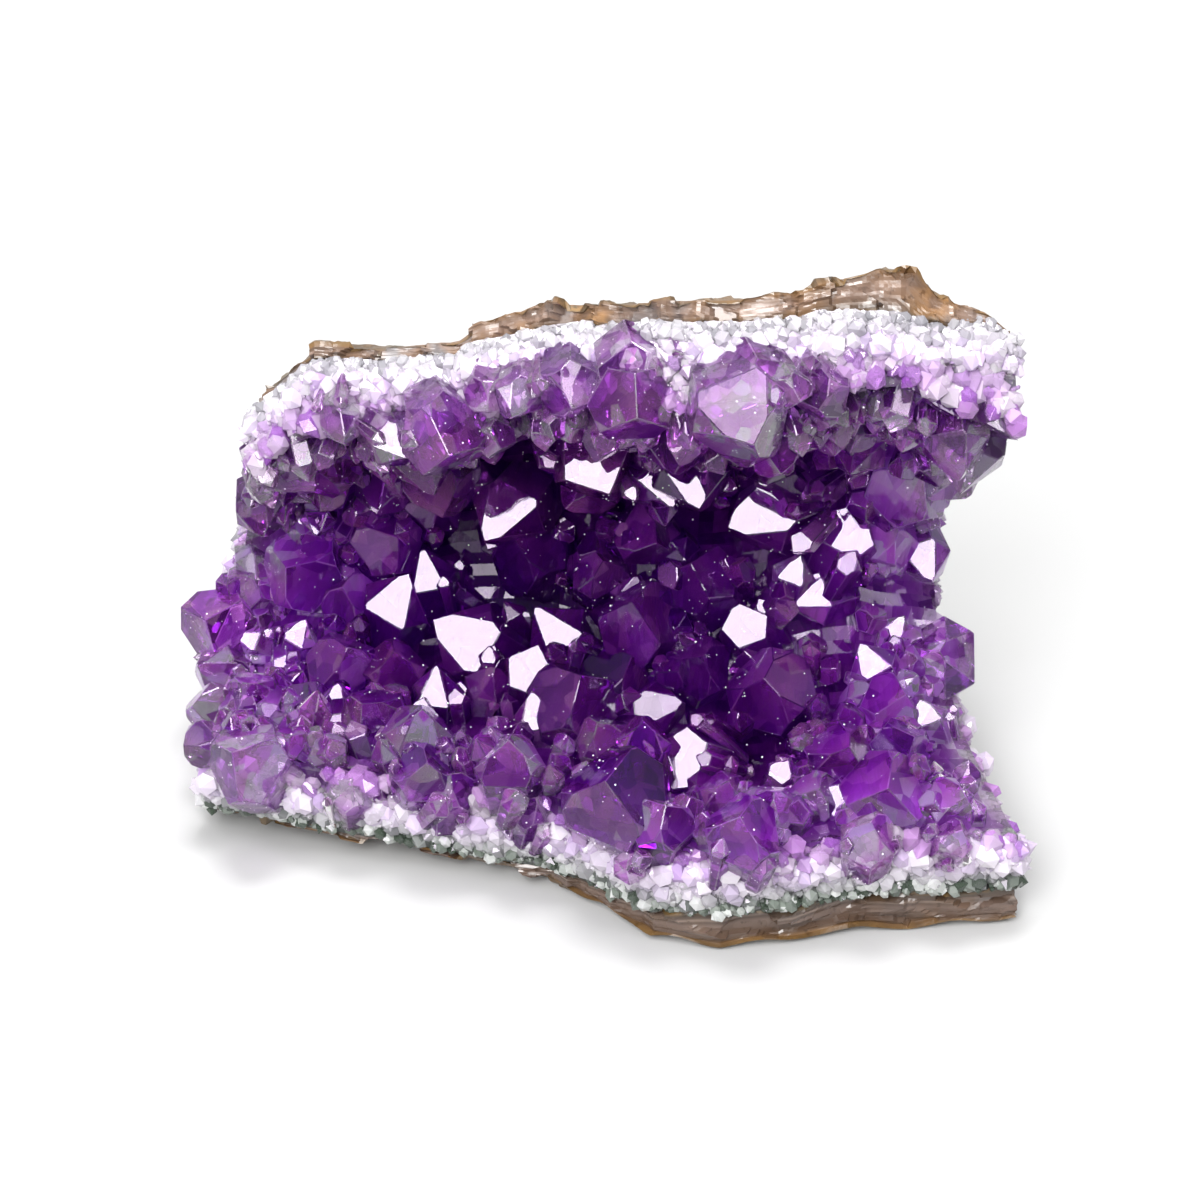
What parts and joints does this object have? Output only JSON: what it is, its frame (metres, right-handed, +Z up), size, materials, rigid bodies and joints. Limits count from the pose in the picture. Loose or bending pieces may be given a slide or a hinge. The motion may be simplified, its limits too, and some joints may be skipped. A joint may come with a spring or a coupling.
{
  "type": "amethyst cluster",
  "caption": "Piece of a geode wall standing on its lower edge: a brown agate rind, a white quartz layer and a crust of purple amethyst points lining a hollow that is open at the front",
  "frame": {"origin": "under the middle of the bounding box, on the floor", "axes": "+X along the piece, to the viewer's right; +Y from the open side to the back of the wall; +Z up"},
  "size_m": [0.1234, 0.0904, 0.0929],
  "materials": {
    "agate_rind": "broken, dull to waxy",
    "quartz_layer": "sugary",
    "amethyst_crust": "glossy"
  },
  "bodies": {
    "root": {"agate_rind": "agate_rind", "quartz_layer": "quartz_layer", "amethyst_crust": "amethyst_crust"}
  },
  "joints": []
}
